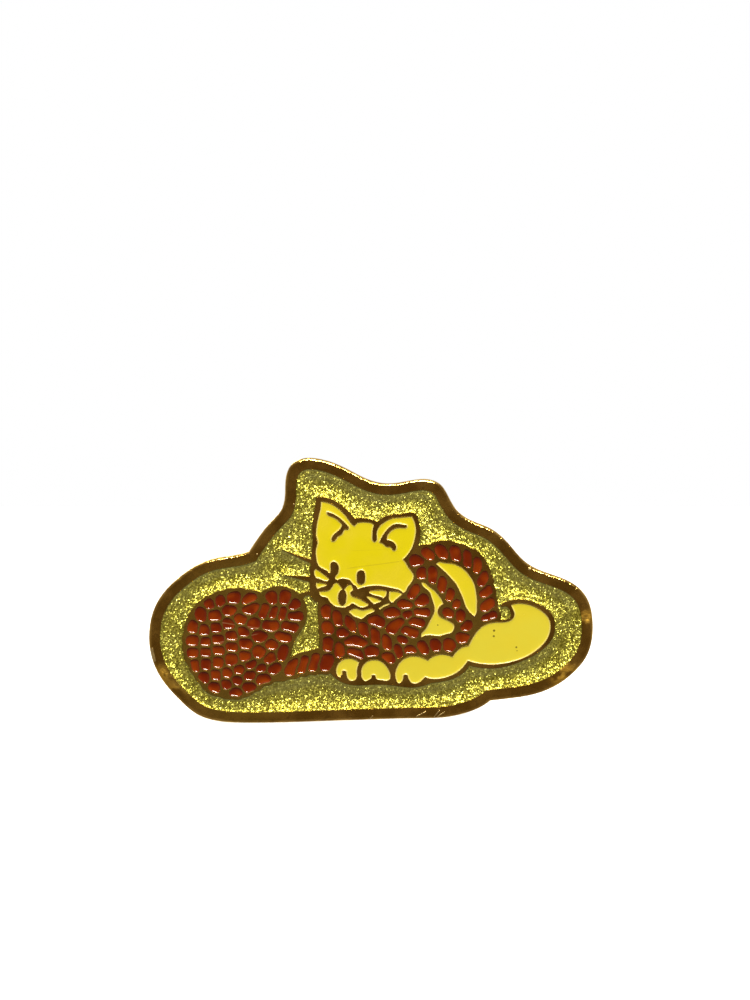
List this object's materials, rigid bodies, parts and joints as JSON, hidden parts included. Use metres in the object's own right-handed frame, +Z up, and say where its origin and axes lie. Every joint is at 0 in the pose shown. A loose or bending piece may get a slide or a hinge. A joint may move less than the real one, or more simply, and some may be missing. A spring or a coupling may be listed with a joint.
{
  "type": "enamel pin",
  "caption": "Die-struck lapel pin of a kitten wrapped in yarn beside a wool ball, with glitter background, posts and butterfly clutches.",
  "frame": {"origin": "middle of the plate's flat back face, at the centre of the outline", "axes": "artwork faces -Y, +Z is up as worn, +X is to the right seen from the front; posts along +Y"},
  "size_m": [0.032, 0.0121, 0.0191],
  "materials": {
    "plated_metal": "polished gold plating",
    "glitter_enamel": "glitter enamel",
    "yellow_enamel": "smooth soft enamel",
    "red_enamel": "smooth soft enamel",
    "post_metal": "polished",
    "solder": "dull solder",
    "clutch_metal": "plated pressing"
  },
  "bodies": {
    "pin": {"back_enamel": "yellow_enamel", "background_enamel": "glitter_enamel", "background_island_enamel": "glitter_enamel", "chest_enamel": "yellow_enamel", "flank_enamel": "yellow_enamel", "head_enamel": "yellow_enamel", "left_cheek_enamel": "yellow_enamel", "left_paw_enamel": "yellow_enamel", "muzzle_enamel": "yellow_enamel", "right_cheek_enamel": "yellow_enamel", "right_paw_enamel": "yellow_enamel", "tail_enamel": "yellow_enamel", "yarn_ball_row_1_enamel": "red_enamel", "yarn_ball_row_2_enamel": "red_enamel", "yarn_ball_row_3_enamel": "red_enamel", "yarn_ball_row_4_enamel": "red_enamel", "yarn_ball_row_5_enamel": "red_enamel", "yarn_ball_row_6_enamel": "red_enamel", "yarn_ball_row_7_enamel": "red_enamel", "yarn_ball_row_8_enamel": "red_enamel", "yarn_ball_row_9_enamel": "red_enamel", "yarn_loop_inner_enamel": "red_enamel", "yarn_loop_outer_enamel": "red_enamel", "yarn_strand_enamel": "red_enamel", "yarn_wrap_belly_enamel": "red_enamel", "yarn_wrap_hip_enamel": "red_enamel", "yarn_wrap_shoulder_enamel": "red_enamel", "base_plate": "plated_metal", "left_post": "post_metal", "left_post_solder": "solder", "right_post": "post_metal", "right_post_solder": "solder"},
    "left_clutch": {"left_clutch_base": "clutch_metal", "left_clutch_cover": "clutch_metal", "left_clutch_spring": "clutch_metal"},
    "left_clutch_upper_wing": {"left_clutch_upper_wing": "clutch_metal"},
    "left_clutch_lower_wing": {"left_clutch_lower_wing": "clutch_metal"},
    "right_clutch": {"right_clutch_base": "clutch_metal", "right_clutch_cover": "clutch_metal", "right_clutch_spring": "clutch_metal"},
    "right_clutch_upper_wing": {"right_clutch_upper_wing": "clutch_metal"},
    "right_clutch_lower_wing": {"right_clutch_lower_wing": "clutch_metal"}
  },
  "joints": [
    {"name": "left_clutch_slide", "type": "slide", "parent": "pin", "child": "left_clutch", "axis": [0, 1, 0], "range_m": [-0.0044, 0.014]},
    {"name": "left_clutch_upper_wing_pivot", "type": "hinge", "parent": "left_clutch", "child": "left_clutch_upper_wing", "pos_m": [-0.0065, 0.00715, -0.00015], "axis": [-1, 0, 0], "range_deg": [0, 12], "stiffness_Nm_per_rad": 0.05},
    {"name": "left_clutch_lower_wing_pivot", "type": "hinge", "parent": "left_clutch", "child": "left_clutch_lower_wing", "pos_m": [-0.0065, 0.00715, -0.00565], "axis": [1, 0, 0], "range_deg": [0, 12], "stiffness_Nm_per_rad": 0.05},
    {"name": "right_clutch_slide", "type": "slide", "parent": "pin", "child": "right_clutch", "axis": [0, 1, 0], "range_m": [-0.0044, 0.014]},
    {"name": "right_clutch_upper_wing_pivot", "type": "hinge", "parent": "right_clutch", "child": "right_clutch_upper_wing", "pos_m": [0.0065, 0.00715, -0.00015], "axis": [-1, 0, 0], "range_deg": [0, 12], "stiffness_Nm_per_rad": 0.05},
    {"name": "right_clutch_lower_wing_pivot", "type": "hinge", "parent": "right_clutch", "child": "right_clutch_lower_wing", "pos_m": [0.0065, 0.00715, -0.00565], "axis": [1, 0, 0], "range_deg": [0, 12], "stiffness_Nm_per_rad": 0.05}
  ]
}
